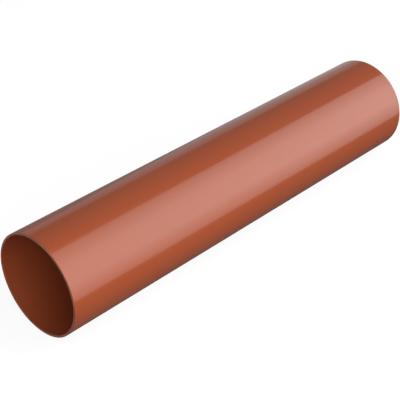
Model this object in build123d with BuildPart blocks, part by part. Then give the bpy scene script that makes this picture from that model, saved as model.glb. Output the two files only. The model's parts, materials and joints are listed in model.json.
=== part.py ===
"""Round plastic rainwater downpipe: one plain-ended length, lying on its side.

The pipe is extruded in one piece and sawn square at both ends. It has no socket: each
end goes plain into a connector, a bend or a gutter outlet, and wall clips close round it.
All sizes are in millimetres. The pipe lies along X on the floor at Z = 0, and the origin
is on the floor, half-way along it.
"""

import os

from build123d import *

# Driving dimensions
outside_diameter = 110.0  # what sockets and wall clips fit round
wall = 2.2  # thickness of the extruded wall
length = 512.0  # over the two sawn ends
edge_break = 0.3  # saw burr scraped off the rims of both ends

# Worked out from them
outside_radius = outside_diameter / 2
bore_radius = outside_radius - wall
axis_height = outside_radius  # the pipe touches the floor along its lowest line
rim_chamfer = min(edge_break, wall / 3)  # leaves a flat on the rim, whatever the wall

# The first sawn end, which faces -X; the pipe grows from it along +X.
first_end = Plane(
    origin=(-length / 2, 0, axis_height),
    x_dir=(0, 1, 0),
    z_dir=(1, 0, 0),
)

with BuildPart() as downpipe:
    # The extruded section: a plain ring.
    with BuildSketch(first_end):
        Circle(outside_radius)
        Circle(bore_radius, mode=Mode.SUBTRACT)
    extrude(amount=length)

    # Both rims of both ends, outside and in the bore.
    sawn_ends = faces().filter_by(Axis.X)
    chamfer(sawn_ends.edges(), rim_chamfer)

downpipe.part.label = "downpipe"

os.makedirs("parts", exist_ok=True)
export_step(downpipe.part, "parts/downpipe.step")
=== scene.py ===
"""Looks of a round plastic downpipe: one plain-ended length, lying on its side.

One operator builds the pipe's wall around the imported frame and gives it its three
finishes: the skin that the extruder leaves outside, the duller skin of the bore, and the
sawn rims. The other sets the stage. Everything is in metres, in the frame's own
coordinates: +X along the pipe, +Z up, and the floor at Z = 0.
"""

import json
import math

import bmesh
import bpy
from bpy.props import FloatProperty, FloatVectorProperty, IntProperty, PointerProperty
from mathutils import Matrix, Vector, noise


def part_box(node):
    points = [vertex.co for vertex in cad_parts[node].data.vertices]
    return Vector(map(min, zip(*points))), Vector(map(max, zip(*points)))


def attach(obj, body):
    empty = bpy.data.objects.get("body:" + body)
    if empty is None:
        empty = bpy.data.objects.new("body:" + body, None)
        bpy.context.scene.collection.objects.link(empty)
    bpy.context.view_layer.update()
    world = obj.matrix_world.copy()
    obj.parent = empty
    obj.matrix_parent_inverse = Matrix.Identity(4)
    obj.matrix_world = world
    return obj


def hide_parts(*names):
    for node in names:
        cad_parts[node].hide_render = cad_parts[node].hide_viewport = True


bl_info = {
    "name": "Plastic Downpipe",
    "version": (1, 0, 0),
    "blender": (4, 5, 0),
    "location": "3D View > Sidebar > Downpipe",
    "description": "Builds a plain-ended plastic rainwater downpipe and its stage",
    "category": "Add Mesh",
}

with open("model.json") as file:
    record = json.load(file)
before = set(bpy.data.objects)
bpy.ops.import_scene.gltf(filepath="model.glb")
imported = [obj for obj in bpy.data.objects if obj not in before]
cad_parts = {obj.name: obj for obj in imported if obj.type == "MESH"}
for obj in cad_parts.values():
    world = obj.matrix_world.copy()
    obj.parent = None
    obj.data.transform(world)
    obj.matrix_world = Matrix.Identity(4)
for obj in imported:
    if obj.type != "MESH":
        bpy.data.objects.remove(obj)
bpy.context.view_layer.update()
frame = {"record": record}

# What the frame says of the pipe
MOUNTS = {mount["name"]: mount for mount in frame["record"]["mounts"]}
PIPE_LOW, PIPE_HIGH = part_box("downpipe")
OUTSIDE_RADIUS = MOUNTS["outside"]["dims"]["r_mm"] / 1000
BORE_RADIUS = MOUNTS["bore"]["dims"]["r_mm"] / 1000
AXIS_HEIGHT = MOUNTS["bore"]["pos_m"][2]

# Places of the finishes in the pipe's material slots
SKIN, SAWN, BORE = 0, 1, 2

# The plastic's index of refraction, and the gloss that its torn surface keeps
PLASTIC_IOR = 1.5
SAWN_SPECULAR = 0.28

# How quickly the saw's wander and the scraped corners change round the rims, and the
# places in the noise that keep the two ends and the four corners apart
SAW_WAVES = 1.1
SAW_PLACE = 7
SCRAPE_WAVES = 3
SCRAPE_PLACE = 500

# Depth of the draw lines, and the share of fine ones among them
SKIN_LINES = {"line_height": 0.00002, "fine_share": 0.3}
BORE_LINES = {"line_height": 0.00005, "fine_share": 0.5}

# Sawn rims: depth of the tooth marks, what the torn surface adds to them, and how much
# of each colour is left in their hollows, which are painted darker as shade
TOOTH_DEPTH = 0.00002
TORN_RELIEF = 0.7
HOLLOW_PAINTED_SHADE = (0.5, 0.4, 0.4)

# Amounts of wear, how far each kind takes the colour towards that of torn plastic, and
# how much roughness it adds
HANDLING = 0.12
END_WEAR = {"Reach": 0.003, "Amount": 0.5}
RUBBED_TORN, SCRATCHED_TORN, END_TORN = 0.12, 0.3, 0.5
RUBBED_DULL, SCRATCHED_DULL, END_DULL = 0.12, 0.25, 0.4
STREAK_DULL = 0.03

# The room's light changes from below to above between these heights of a direction
HORIZON = (-0.3, 0.3)

# Lamp panels in arcs round the pipe. `edges` are the directions of their edges from the
# highest to the lowest, in degrees from straight up, towards -Y in front and +Y behind.
# Their edges are `radius` from the pipe's axis, and they stretch from `low_x` to `high_x`.
# The back and under arcs stand where the pipe doesn't mirror them to the camera.
FRONT_EDGES = (5.7, 42.5, 81.5, 120.8)
KEY_ARC = {"edges": FRONT_EDGES, "radius": 6.36, "low_x": 1.7, "high_x": 8.2}
FILL_ARC = {"edges": FRONT_EDGES, "radius": 1.8, "low_x": -1.7, "high_x": 0.5}
BACK_ARC = {"edges": (-96.0, -117.0), "radius": 2.6, "low_x": -2.9, "high_x": 0.75}
UNDER_ARC = {"edges": (-117.0, -140.0), "radius": 2.6, "low_x": -1.1, "high_x": 0.75}

# Single lamp panels
REAR_PANEL = {"centre": (2.6, 2.5, 0.91), "facing": (2.6, 0, 0.91), "size": (3.8, 1.02)}
LOW_REAR_PANEL = {"centre": (2.3, 2.5, -0.45), "facing": (2.3, 0, -0.45), "size": (3.4, 1.7)}
LOW_REAR_GAIN = 1.6
FRONT_PANEL = {"centre": (-2.2, -2.0, 1.5), "facing": (0, -2.0, 1.5), "size": (2.4, 2.4)}


# Settings

class PipeSettings(bpy.types.PropertyGroup):
    """Sizes and finishes of the pipe."""

    faces_round: IntProperty(
        name="Faces Round",
        description="Faces round the wall",
        default=256,
        min=32,
    )
    faces_along: IntProperty(
        name="Faces Along",
        description="Faces from end to end of the wall",
        default=64,
        min=4,
    )
    rim_rounding: FloatProperty(
        name="Rim Rounding",
        description="Radius left where the saw burr was scraped off the rims",
        default=0.0003,
        unit="LENGTH",
        precision=5,
    )
    rounding_faces: IntProperty(
        name="Rounding Faces",
        description="Faces across each rounded rim",
        default=4,
        min=1,
    )
    scrape_variation: FloatProperty(
        name="Scrape Variation",
        description="How much the rounding changes round the rims, as a share of it",
        default=0.3,
        min=0,
        max=0.6,
        subtype="FACTOR",
    )
    saw_wander: FloatProperty(
        name="Saw Wander",
        description="How far the saw wandered into the cut faces",
        default=0.00015,
        unit="LENGTH",
        precision=5,
    )
    skin_colour: FloatVectorProperty(
        name="Skin Colour",
        description="Pigment of the outside skin",
        subtype="COLOR",
        size=4,
        min=0,
        max=1,
        default=(0.355, 0.0755, 0.028, 1),
    )
    bore_colour: FloatVectorProperty(
        name="Bore Colour",
        description="Pigment of the bore's skin",
        subtype="COLOR",
        size=4,
        min=0,
        max=1,
        default=(0.355, 0.0755, 0.028, 1),
    )
    sawn_colour: FloatVectorProperty(
        name="Sawn Colour",
        description="Colour of torn plastic, on the sawn rims and where the skin is worn",
        subtype="COLOR",
        size=4,
        min=0,
        max=1,
        default=(0.32, 0.086, 0.034, 1),
    )
    skin_roughness: FloatProperty(
        name="Skin Roughness",
        description="Roughness of the outside skin, which the cooling sleeve polished",
        default=0.13,
        min=0,
        max=1,
        subtype="FACTOR",
    )
    bore_roughness: FloatProperty(
        name="Bore Roughness",
        description="Roughness of the bore's skin",
        default=0.22,
        min=0,
        max=1,
        subtype="FACTOR",
    )
    sawn_roughness: FloatProperty(
        name="Sawn Roughness",
        description="Roughness of the sawn rims",
        default=0.55,
        min=0,
        max=1,
        subtype="FACTOR",
    )


class StageSettings(bpy.types.PropertyGroup):
    """Floor, lamps and camera."""

    floor_size: FloatProperty(
        name="Floor Size",
        description="Width of the square floor",
        default=4.8,
        unit="LENGTH",
    )
    floor_colour: FloatVectorProperty(
        name="Floor Colour",
        description="Pale colour of the floor under the lamps",
        subtype="COLOR",
        size=4,
        min=0,
        max=1,
        default=(0.15, 0.15, 0.15, 1),
    )
    floor_lift: FloatProperty(
        name="Floor Lift",
        description="Brightness added to the floor, so that it shows white",
        default=0.9,
        min=0,
        max=1,
    )
    gloss_share: FloatProperty(
        name="Gloss Share",
        description="How much of the white floor and background shows in gloss",
        default=0.05,
        min=0,
        max=1,
        subtype="FACTOR",
    )
    room_brightness: FloatProperty(
        name="Room Brightness",
        description="Even light of the room above the floor, where 1 is white",
        default=0.18,
        min=0,
    )
    under_brightness: FloatProperty(
        name="Under Brightness",
        description="Even light from below, where 1 is white",
        default=0.01,
        min=0,
    )
    key_brightness: FloatProperty(
        name="Key Arc Brightness",
        description="Brightness of the large soft arc of panels that the gloss shows",
        default=3.7,
        min=0,
    )
    fill_brightness: FloatProperty(
        name="Fill Arc Brightness",
        description="Brightness of the near arc that carries the key arc on towards -X",
        default=1.16,
        min=0,
    )
    rear_brightness: FloatProperty(
        name="Rear Panels Brightness",
        description="Brightness of the dim panels behind the pipe, low and high",
        default=0.45,
        min=0,
    )
    back_brightness: FloatProperty(
        name="Back Arcs Brightness",
        description="Brightness of the arcs that light the pipe's back and underside",
        default=3.4,
        min=0,
    )
    front_brightness: FloatProperty(
        name="Front Panel Brightness",
        description="Brightness of the panel that lights the open end at -X",
        default=0.5,
        min=0,
    )
    camera_azimuth: FloatProperty(
        name="Camera Azimuth",
        description="Angle of the camera round the pipe, from the -Y side towards +X",
        default=math.radians(-46.262),
        subtype="ANGLE",
    )
    camera_elevation: FloatProperty(
        name="Camera Elevation",
        description="Angle of the camera above the floor",
        default=math.radians(32.775),
        subtype="ANGLE",
    )
    camera_distance: FloatProperty(
        name="Camera Distance",
        description="From the camera to the point that it looks at",
        default=1.16607,
        unit="LENGTH",
    )
    camera_target: FloatVectorProperty(
        name="Camera Target",
        description="The point that the camera looks at",
        subtype="XYZ",
        size=3,
        default=(-0.03289, 0.0, 0.0477),
    )
    camera_lens: FloatProperty(
        name="Camera Lens",
        description="Focal length on a sensor 36 mm wide",
        default=97.859,
        unit="CAMERA",
    )


# Shape of the wall

def drift(turn, place, waves):
    """Smooth noise from -1 to 1 that closes on itself round the pipe."""
    return noise.noise(Vector((waves * math.cos(turn), waves * math.sin(turn), place)))


def rim_rows(settings, side):
    """Rows of the rim at the end `side` (1 or -1), from the outside skin to the bore.

    Each row gives (x, radius) at an angle round the pipe. The saw's wander and the
    scraped corners' rounding change with that angle, and only ever take plastic away.
    """
    end = PIPE_HIGH.x if side > 0 else PIPE_LOW.x
    steps = settings.rounding_faces
    turns = [2 * math.pi * i / settings.faces_round for i in range(settings.faces_round)]

    def saw_path(turn):
        return drift(turn, SAW_PLACE * side, SAW_WAVES)

    proudest = max(saw_path(turn) for turn in turns)

    def corner(edge_radius, inwards, quarter):
        """A point of a scraped corner, at `quarter` from 0 on the skin to 1 on the cut."""
        def point(turn):
            face = end - side * settings.saw_wander * (proudest - saw_path(turn))
            change = drift(turn, edge_radius * SCRAPE_PLACE + side, SCRAPE_WAVES)
            rounding = settings.rim_rounding * (1 + settings.scrape_variation * change)
            angle = quarter * math.pi / 2
            return (
                face - side * rounding * (1 - math.sin(angle)),
                edge_radius + inwards * rounding * (1 - math.cos(angle)),
            )
        return point

    outer = [corner(OUTSIDE_RADIUS, -1, i / steps) for i in range(steps + 1)]
    inner = [corner(BORE_RADIUS, 1, i / steps) for i in range(steps, -1, -1)]
    return outer + inner


def skin_rows(settings, radius):
    """Rows of the wall's skin at `radius`, from the -X end to the +X end.

    They stop short of the rims by more than saw and scraper take away anywhere.
    """
    count = settings.faces_along
    inset = 2 * (settings.rim_rounding + settings.saw_wander)
    low, high = PIPE_LOW.x + inset, PIPE_HIGH.x - inset
    places = [low + (high - low) * i / count for i in range(count + 1)]
    return [lambda turn, x=x: (x, radius) for x in places]


def build_wall(settings):
    """Mesh of the whole wall: outside, sawn rim, bore and sawn rim, as one closed surface."""
    sections = (
        (SKIN, skin_rows(settings, OUTSIDE_RADIUS)),
        (SAWN, rim_rows(settings, 1)),
        (BORE, skin_rows(settings, BORE_RADIUS)[::-1]),
        (SAWN, rim_rows(settings, -1)[::-1]),
    )
    shape = bmesh.new()
    count = settings.faces_round
    rings = []
    for finish, rows in sections:
        for row in rows:
            ring = []
            for i in range(count):
                turn = 2 * math.pi * i / count
                x, radius = row(turn)
                y = radius * math.sin(turn)
                z = AXIS_HEIGHT - radius * math.cos(turn)
                ring.append(shape.verts.new((x, y, z)))
            rings.append((finish, ring))
    for (near_finish, near), (far_finish, far) in zip(rings, rings[1:] + rings[:1]):
        # The strip between skin and rim belongs to the skin
        finish = near_finish if near_finish != SAWN else far_finish
        for i in range(count):
            j = (i + 1) % count
            face = shape.faces.new((near[i], far[i], far[j], near[j]))
            face.smooth = True
            face.material_index = finish
    bmesh.ops.recalc_face_normals(shape, faces=shape.faces)
    mesh = bpy.data.meshes.new("pipe")
    shape.to_mesh(mesh)
    shape.free()
    return mesh


# Node groups, one for each effect that more than one finish has

class Nodes:
    """Short ways to place and join nodes in one node tree."""

    def __init__(self, tree):
        self.tree = tree

    def add(self, kind, inputs=None, **settings):
        """A node, with its inputs set to values or joined to other nodes' outputs."""
        node = self.tree.nodes.new(kind)
        for name, value in settings.items():
            setattr(node, name, value)
        for name, value in (inputs or {}).items():
            if isinstance(value, bpy.types.NodeSocket):
                self.tree.links.new(value, node.inputs[name])
            else:
                node.inputs[name].default_value = value
        return node

    def math(self, operation, *values):
        node = self.add("ShaderNodeMath", dict(enumerate(values)), operation=operation)
        return node.outputs[0]

    def spread(self, value, low, high, to_low=0.0, to_high=1.0, smooth=True):
        """`value` moved from the range low to high to the range to_low to to_high."""
        node = self.add(
            "ShaderNodeMapRange",
            {
                "Value": value,
                "From Min": low,
                "From Max": high,
                "To Min": to_low,
                "To Max": to_high,
            },
            interpolation_type="SMOOTHSTEP" if smooth else "LINEAR",
        )
        return node.outputs["Result"]

    def stretched_noise(self, scale, detail=2.0, rough=0.5, offset=(0.0, 0.0, 0.0)):
        """Noise in the pipe's own coordinates, with `scale` features a metre on each axis."""
        place = self.add("ShaderNodeTexCoord").outputs["Object"]
        mapping = self.add(
            "ShaderNodeMapping",
            {"Vector": place, "Location": offset, "Scale": scale},
        )
        node = self.add(
            "ShaderNodeTexNoise",
            {
                "Vector": mapping.outputs[0],
                "Scale": 1.0,
                "Detail": detail,
                "Roughness": rough,
            },
        )
        return node.outputs["Fac"]

    def mix(self, factor, first, second, blend="MIX"):
        node = self.add("ShaderNodeMix", data_type="RGBA", blend_type=blend)
        for socket, value in zip((node.inputs[0], node.inputs[6], node.inputs[7]),
                                 (factor, first, second)):
            if isinstance(value, bpy.types.NodeSocket):
                self.tree.links.new(value, socket)
            else:
                socket.default_value = value
        return node.outputs[2]


def new_group(name, inputs, outputs):
    """A shader node group with its sockets, its Nodes, input sockets and output node.

    `inputs` gives a default for each named input and `outputs` a kind for each output.
    """
    kinds = {float: "NodeSocketFloat", tuple: "NodeSocketColor"}
    tree = bpy.data.node_groups.new(name, "ShaderNodeTree")
    for label, default in inputs.items():
        socket = tree.interface.new_socket(
            name=label, in_out="INPUT", socket_type=kinds[type(default)],
        )
        socket.default_value = default
    for label, kind in outputs.items():
        tree.interface.new_socket(name=label, in_out="OUTPUT", socket_type=kinds[kind])
    nodes = Nodes(tree)
    return nodes, nodes.add("NodeGroupInput").outputs, nodes.add("NodeGroupOutput").inputs


def make_draw_lines():
    """Faint lines along the pipe, drawn into its skin by the die and the cooling sleeve."""
    nodes, given, made = new_group(
        "draw_lines",
        {"Fine Share": 0.4},
        {"Height": float, "Streaks": float},
    )
    broad = nodes.stretched_noise((0.9, 75.0, 75.0), detail=1.0)
    fine = nodes.stretched_noise((2.5, 420.0, 420.0), detail=2.0, offset=(3.0, 5.0, 1.0))
    blended = nodes.add(
        "ShaderNodeMix",
        {"Factor": given["Fine Share"], "A": broad, "B": fine},
    )
    height = blended.outputs[0]
    nodes.tree.links.new(height, made["Height"])
    nodes.tree.links.new(nodes.spread(fine, 0.35, 0.65), made["Streaks"])
    return nodes.tree


def make_pigment():
    """Colour of pigmented plastic: soft clouds drawn out along the pipe, and fine grains."""
    nodes, given, made = new_group(
        "pigment",
        {"Colour": (0.4, 0.08, 0.03, 1.0), "Clouding": 0.04, "Grains": 0.05},
        {"Colour": tuple},
    )
    clouds = nodes.stretched_noise((6.0, 22.0, 22.0), detail=3.0, offset=(0.0, 2.0, 4.0))
    grains = nodes.stretched_noise((1900.0, 2300.0, 2300.0), detail=0.0)
    cloudy = nodes.math("MULTIPLY", nodes.math("SUBTRACT", clouds, 0.5), given["Clouding"])
    grainy = nodes.math("MULTIPLY", nodes.math("SUBTRACT", grains, 0.5), given["Grains"])
    depth = nodes.math("MULTIPLY_ADD", cloudy, 2.0, 1.0)
    depth = nodes.math("MULTIPLY_ADD", grainy, 2.0, depth)
    shade = nodes.add("ShaderNodeCombineColor", {"Red": depth, "Green": depth, "Blue": depth})
    made_colour = nodes.mix(1.0, given["Colour"], shade.outputs[0], "MULTIPLY")
    nodes.tree.links.new(made_colour, made["Colour"])
    return nodes.tree


def make_handling():
    """Marks of handling: a mask of dull rubbed patches, and one of hair scratches."""
    nodes, given, made = new_group(
        "handling",
        {"Amount": 0.3},
        {"Rubbed": float, "Scratches": float},
    )
    patches = nodes.stretched_noise((14.0, 30.0, 30.0), detail=4.0, rough=0.6)
    speckle = nodes.stretched_noise((300.0, 900.0, 900.0), detail=3.0, rough=0.7)
    rubbed = nodes.math(
        "MULTIPLY", nodes.spread(patches, 0.52, 0.72), nodes.spread(speckle, 0.4, 0.65),
    )
    where = nodes.spread(
        nodes.stretched_noise((10.0, 16.0, 16.0), detail=1.0, offset=(6.0, 1.0, 2.0)),
        0.5, 0.68,
    )
    place = nodes.add("ShaderNodeTexCoord").outputs["Object"]
    hairs = None
    for angle, across in ((0.22, 1300.0), (-0.3, 1500.0)):
        mapping = nodes.add(
            "ShaderNodeMapping",
            {"Vector": place, "Rotation": (0.0, angle, angle), "Scale": (22.0, across, across)},
        )
        lines = nodes.add(
            "ShaderNodeTexNoise",
            {"Vector": mapping.outputs[0], "Scale": 1.0, "Detail": 0.0},
        )
        hair = nodes.spread(lines.outputs["Fac"], 0.7, 0.76)
        hairs = hair if hairs is None else nodes.math("MAXIMUM", hairs, hair)
    scratches = nodes.math("MULTIPLY", hairs, where)
    for mask, name in ((rubbed, "Rubbed"), (scratches, "Scratches")):
        nodes.tree.links.new(nodes.math("MULTIPLY", mask, given["Amount"]), made[name])
    return nodes.tree


def make_end_wear():
    """Mask of the band next to the sawn ends that saw and scraper have dulled."""
    nodes, given, made = new_group(
        "end_wear",
        {"Reach": 0.003, "Amount": 1.0},
        {"Worn": float},
    )
    place = nodes.add("ShaderNodeTexCoord").outputs["Object"]
    along = nodes.add("ShaderNodeSeparateXYZ", {"Vector": place}).outputs["X"]
    from_end = nodes.math("SUBTRACT", PIPE_HIGH.x, nodes.math("ABSOLUTE", along))
    ragged = nodes.stretched_noise((500.0, 350.0, 350.0), detail=4.0, rough=0.65)
    reach = nodes.math("MULTIPLY", given["Reach"], nodes.spread(ragged, 0.3, 0.7, 0.1, 1.0))
    share = nodes.math("DIVIDE", from_end, reach)
    worn = nodes.math("MULTIPLY", nodes.spread(share, 0.0, 1.0, 1.0, 0.0), given["Amount"])
    nodes.tree.links.new(worn, made["Worn"])
    return nodes.tree


# Materials

def new_material(name):
    """A node material, its Nodes, and its Principled shader."""
    material = bpy.data.materials.new(name)
    material.use_nodes = True
    tree = material.node_tree
    shader = tree.nodes["Principled BSDF"]
    shader.inputs["IOR"].default_value = PLASTIC_IOR
    return material, Nodes(tree), shader


def group_node(nodes, group, inputs):
    node = nodes.add("ShaderNodeGroup", node_tree=group)
    for name, value in inputs.items():
        node.inputs[name].default_value = value
    return node.outputs


def finish_shader(nodes, shader, colour, roughness, depth, height):
    """Give the shader its colour, its roughness, and a relief `depth` deep from `height`."""
    bump = nodes.add(
        "ShaderNodeBump", {"Strength": 1.0, "Distance": depth, "Height": height},
    )
    link = nodes.tree.links.new
    link(colour, shader.inputs["Base Color"])
    link(roughness, shader.inputs["Roughness"])
    link(bump.outputs[0], shader.inputs["Normal"])


def make_skin(name, groups, colour, torn, roughness, line_height, fine_share):
    """Skin of extruded plastic: pigment, draw lines along it, and a little wear.

    `torn` is the colour that worn plastic takes, `line_height` how deep the draw lines
    are, and `fine_share` the share of fine ones among them.
    """
    material, nodes, shader = new_material(name)
    lines = group_node(nodes, groups["draw_lines"], {"Fine Share": fine_share})
    pigment = group_node(nodes, groups["pigment"], {"Colour": colour})
    marks = group_node(nodes, groups["handling"], {"Amount": HANDLING})
    ends = group_node(nodes, groups["end_wear"], END_WEAR)

    worn = nodes.math("MULTIPLY", marks["Rubbed"], RUBBED_TORN)
    worn = nodes.math("MULTIPLY_ADD", marks["Scratches"], SCRATCHED_TORN, worn)
    worn = nodes.math("MULTIPLY_ADD", ends["Worn"], END_TORN, worn)
    shade = nodes.mix(worn, pigment["Colour"], torn)
    smoothest = roughness - STREAK_DULL / 2
    dull = nodes.math("MULTIPLY_ADD", lines["Streaks"], STREAK_DULL, smoothest)
    dull = nodes.math("MULTIPLY_ADD", marks["Rubbed"], RUBBED_DULL, dull)
    dull = nodes.math("MULTIPLY_ADD", marks["Scratches"], SCRATCHED_DULL, dull)
    dull = nodes.math("MULTIPLY_ADD", ends["Worn"], END_DULL, dull)
    finish_shader(nodes, shader, shade, dull, line_height, lines["Height"])
    return material


def make_sawn(name, groups, colour, roughness):
    """Sawn plastic: matt, ridged by the teeth, with painted shade in the ridges' hollows. The
    torn surface holds back its gloss.
    """
    material, nodes, shader = new_material(name)
    shader.inputs["Specular IOR Level"].default_value = SAWN_SPECULAR
    pigment = group_node(
        nodes, groups["pigment"], {"Colour": colour, "Clouding": 0.08, "Grains": 0.12},
    )
    place = nodes.add("ShaderNodeTexCoord").outputs["Object"]
    teeth = nodes.add(
        "ShaderNodeTexWave",
        {
            "Vector": place,
            "Scale": 190.0,
            "Distortion": 2.5,
            "Detail": 2.0,
            "Detail Scale": 1.5,
        },
        bands_direction="Y",
    ).outputs["Fac"]
    torn = nodes.stretched_noise((900.0, 900.0, 900.0), detail=3.0, rough=0.6)
    relief = nodes.math("MULTIPLY_ADD", torn, TORN_RELIEF, teeth)
    # Painted shade: the hollows of the tooth marks and the torn surface are painted darker, as
    # if shaded
    painted_shade_in_hollows = nodes.spread(relief, 0.3, 1.3, 0.25, 0.0)
    painted_shade_colour = (*(part * left for part, left in zip(colour, HOLLOW_PAINTED_SHADE)), 1)
    shade = nodes.mix(painted_shade_in_hollows, pigment["Colour"], painted_shade_colour)
    dull = nodes.spread(torn, 0.2, 0.8, roughness - 0.1, roughness + 0.1)
    finish_shader(nodes, shader, shade, dull, TOOTH_DEPTH, relief)
    return material


# Operators

class DOWNPIPE_OT_build_pipe(bpy.types.Operator):
    """Build the pipe's wall and finish its skin, bore and sawn rims"""

    bl_idname = "downpipe.build_pipe"
    bl_label = "Build Pipe"

    def execute(self, context):
        settings = context.scene.downpipe_pipe
        groups = {
            "draw_lines": make_draw_lines(),
            "pigment": make_pigment(),
            "handling": make_handling(),
            "end_wear": make_end_wear(),
        }
        torn = tuple(settings.sawn_colour)
        skin = make_skin(
            "pipe_skin", groups, tuple(settings.skin_colour), torn,
            settings.skin_roughness, **SKIN_LINES,
        )
        sawn = make_sawn("pipe_sawn", groups, torn, settings.sawn_roughness)
        bore = make_skin(
            "pipe_bore", groups, tuple(settings.bore_colour), torn,
            settings.bore_roughness, **BORE_LINES,
        )
        mesh = build_wall(settings)
        for material in (skin, sawn, bore):
            mesh.materials.append(material)
        pipe = bpy.data.objects.new("pipe", mesh)
        context.scene.collection.objects.link(pipe)
        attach(pipe, "root")
        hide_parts("downpipe")
        return {"FINISHED"}


def add_panel(scene, name, brightness, centre, facing, size):
    """A soft lamp panel, its width kept level. Its brightness is 1 where it shows white."""
    width, height = size
    lamp = bpy.data.lights.new(name, "AREA")
    lamp.shape = "RECTANGLE"
    lamp.size = width
    lamp.size_y = height
    lamp.energy = brightness * math.pi * width * height
    back = Vector(centre) - Vector(facing)
    panel = bpy.data.objects.new(name, lamp)
    panel.location = centre
    panel.rotation_euler = back.to_track_quat("Z", "Y").to_euler()
    panel.visible_camera = False
    scene.collection.objects.link(panel)
    return lamp


def soften_panel(lamp, bottom=1.0, top=1.0, start=1.0, end=1.0, cut=(0.0, 0.0), rest=0.0):
    """Dim a panel towards its borders, as the cloth of a soft lamp does.

    `bottom`, `top`, `start` and `end` are the shares of its brightness there. Its start
    is on the left, seen from behind the panel: towards -X in front of the pipe and +X
    behind it. `cut` gives how far up its height a slanting edge runs, at its start and at
    its end, and below that edge only the share `rest` is left.
    """
    lamp.use_nodes = True
    nodes = Nodes(lamp.node_tree)
    surface = nodes.add("ShaderNodeNewGeometry").outputs["Parametric"]
    place = nodes.add("ShaderNodeSeparateXYZ", {"Vector": surface}).outputs
    edge = nodes.spread(place["X"], 0.0, 1.0, *cut, smooth=False)
    lit = nodes.math("MAXIMUM", nodes.math("GREATER_THAN", place["Y"], edge), rest)
    glow = nodes.math(
        "MULTIPLY",
        nodes.spread(place["Y"], 0.0, 1.0, bottom, top, smooth=False),
        nodes.spread(place["X"], 0.0, 1.0, start, end, smooth=False),
    )
    strength = nodes.tree.nodes["Emission"].inputs["Strength"]
    nodes.tree.links.new(nodes.math("MULTIPLY", glow, lit), strength)


def add_arc(scene, name, brightness, soft, edges, radius, low_x, high_x):
    """Panels edge to edge in an arc round the pipe, as the lamps' constants give them.

    `soft` gives each panel's soften_panel values, from the highest to the lowest.
    """
    beside = Vector(((low_x + high_x) / 2, 0, AXIS_HEIGHT))
    for i, values in enumerate(soft):
        middle = math.radians(edges[i + 1] + edges[i]) / 2
        half = math.radians(abs(edges[i + 1] - edges[i])) / 2
        outwards = Vector((0, -math.sin(middle), math.cos(middle)))
        centre = beside + outwards * radius * math.cos(half)
        size = (high_x - low_x, 2 * radius * math.sin(half))
        panel = add_panel(scene, f"{name}_{i + 1}", brightness, centre, beside, size)
        soften_panel(panel, **values)


def shown_share(nodes, gloss_share):
    """How much of white shows: all of it to the camera, and `gloss_share` in gloss."""
    path = nodes.add("ShaderNodeLightPath").outputs
    in_gloss = nodes.math("MULTIPLY", path["Is Glossy Ray"], gloss_share)
    shown = nodes.math("MAXIMUM", path["Is Camera Ray"], in_gloss)
    return nodes.math("MAXIMUM", path["Is Transmission Ray"], shown)


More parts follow.
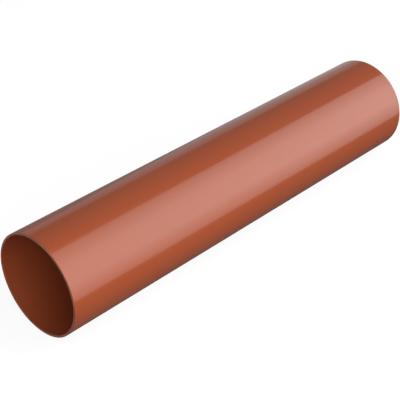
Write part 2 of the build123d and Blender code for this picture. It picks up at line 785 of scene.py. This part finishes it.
class DOWNPIPE_OT_set_stage(bpy.types.Operator):
    """Set the floor, the room's light, the lamps and the camera"""

    bl_idname = "downpipe.set_stage"
    bl_label = "Set Stage"

    def execute(self, context):
        scene = context.scene
        settings = scene.downpipe_stage
        scene.view_settings.view_transform = "Standard"
        self.add_floor(scene, settings)
        self.add_room(scene, settings)
        self.add_lamps(scene, settings)
        self.add_camera(scene, settings)
        return {"FINISHED"}

    def add_floor(self, scene, settings):
        """A white floor that shows in full to the camera and faintly in the pipe's gloss."""
        half = settings.floor_size / 2
        mesh = bpy.data.meshes.new("floor")
        corners = [(-half, -half, 0), (half, -half, 0), (half, half, 0), (-half, half, 0)]
        mesh.from_pydata(corners, [], [(0, 1, 2, 3)])
        material = bpy.data.materials.new("floor_white")
        material.use_nodes = True
        material.node_tree.nodes.clear()
        nodes = Nodes(material.node_tree)
        lit = nodes.add("ShaderNodeBsdfDiffuse", {"Color": settings.floor_colour})
        lift = nodes.add("ShaderNodeEmission", {"Strength": settings.floor_lift})
        white = nodes.add("ShaderNodeAddShader", {0: lit.outputs[0], 1: lift.outputs[0]})
        clear = nodes.add("ShaderNodeBsdfTransparent")
        shown = shown_share(nodes, settings.gloss_share)
        surface = nodes.add(
            "ShaderNodeMixShader", {0: shown, 1: clear.outputs[0], 2: white.outputs[0]},
        )
        nodes.add("ShaderNodeOutputMaterial", {"Surface": surface.outputs[0]})
        mesh.materials.append(material)
        floor = bpy.data.objects.new("floor", mesh)
        scene.collection.objects.link(floor)

    def add_room(self, scene, settings):
        """The room's even light, dimmer from below, in front of a white background."""
        world = bpy.data.worlds.new("room")
        world.use_nodes = True
        nodes = Nodes(world.node_tree)
        direction = nodes.add("ShaderNodeTexCoord").outputs["Generated"]
        height = nodes.add("ShaderNodeSeparateXYZ", {"Vector": direction}).outputs["Z"]
        light = nodes.spread(
            height, *HORIZON, settings.under_brightness, settings.room_brightness,
        )
        shown = shown_share(nodes, settings.gloss_share)
        strength = nodes.add("ShaderNodeMix", {"Factor": shown, "A": light, "B": 1.0})
        room = world.node_tree.nodes["Background"]
        room.inputs["Color"].default_value = (1, 1, 1, 1)
        world.node_tree.links.new(strength.outputs[0], room.inputs["Strength"])
        scene.world = world

    def add_lamps(self, scene, settings):
        """Soft arcs and single panels round the pipe. The camera doesn't see them."""
        along = {"start": 0.775, "end": 0.97}
        key_soft = (
            {"bottom": 0.95, "top": 0.42, **along},
            {"bottom": 0.95, "top": 0.95, **along},
            {"bottom": 0.31, "top": 0.95, "cut": (0.233, -0.06), **along},
        )
        add_arc(scene, "key_panel", settings.key_brightness, key_soft, **KEY_ARC)
        fill_soft = (
            {"start": 1.15, "end": 0.7},
            {"bottom": 1.25, "top": 1.2, "start": 1.45, "end": 0.7},
            {"bottom": 0.4, "top": 1.15, "start": 1.45, "end": 0.7},
        )
        add_arc(scene, "fill_panel", settings.fill_brightness, fill_soft, **FILL_ARC)

        rear = settings.rear_brightness
        high = add_panel(scene, "rear_panel", rear, **REAR_PANEL)
        soften_panel(high, top=0.8, start=0.86, end=0.8)
        low = add_panel(scene, "low_rear_panel", LOW_REAR_GAIN * rear, **LOW_REAR_PANEL)
        soften_panel(low, bottom=0.83, start=0.9, end=0.31, cut=(-0.976, 1.424), rest=0.45)

        back = settings.back_brightness
        back_soft = ({"top": 0.6, "start": 0.55, "end": 1.5},)
        add_arc(scene, "back_panel", back, back_soft, **BACK_ARC)
        under_soft = ({"bottom": 0.6, "start": 0.6, "end": 1.3},)
        add_arc(scene, "under_panel", back, under_soft, **UNDER_ARC)
        add_panel(scene, "front_panel", settings.front_brightness, **FRONT_PANEL)

    def add_camera(self, scene, settings):
        """The camera, placed round its target by azimuth and elevation."""
        camera = bpy.data.objects.new("camera", bpy.data.cameras.new("camera"))
        camera.data.sensor_width = 36
        camera.data.lens = settings.camera_lens
        azimuth, elevation = settings.camera_azimuth, settings.camera_elevation
        back = Vector((
            math.sin(azimuth) * math.cos(elevation),
            -math.cos(azimuth) * math.cos(elevation),
            math.sin(elevation),
        ))
        camera.location = Vector(settings.camera_target) + back * settings.camera_distance
        camera.rotation_euler = back.to_track_quat("Z", "Y").to_euler()
        scene.collection.objects.link(camera)
        scene.camera = camera


class DOWNPIPE_PT_sidebar(bpy.types.Panel):
    """Lists the pipe's and the stage's settings and operators"""

    bl_idname = "DOWNPIPE_PT_sidebar"
    bl_label = "Downpipe"
    bl_space_type = "VIEW_3D"
    bl_region_type = "UI"
    bl_category = "Downpipe"

    def draw(self, context):
        layout = self.layout
        for settings, operator in (
            (context.scene.downpipe_pipe, DOWNPIPE_OT_build_pipe),
            (context.scene.downpipe_stage, DOWNPIPE_OT_set_stage),
        ):
            box = layout.box()
            for name in settings.bl_rna.properties.keys():
                if name not in ("rna_type", "name"):
                    box.prop(settings, name)
            box.operator(operator.bl_idname)


CLASSES = (
    PipeSettings,
    StageSettings,
    DOWNPIPE_OT_build_pipe,
    DOWNPIPE_OT_set_stage,
    DOWNPIPE_PT_sidebar,
)


def register():
    for item in CLASSES:
        bpy.utils.register_class(item)
    bpy.types.Scene.downpipe_pipe = PointerProperty(type=PipeSettings)
    bpy.types.Scene.downpipe_stage = PointerProperty(type=StageSettings)


def unregister():
    del bpy.types.Scene.downpipe_stage
    del bpy.types.Scene.downpipe_pipe
    for item in reversed(CLASSES):
        bpy.utils.unregister_class(item)


def main():
    register()
    bpy.ops.downpipe.build_pipe()
    bpy.ops.downpipe.set_stage()


if __name__ == "__main__":
    main()
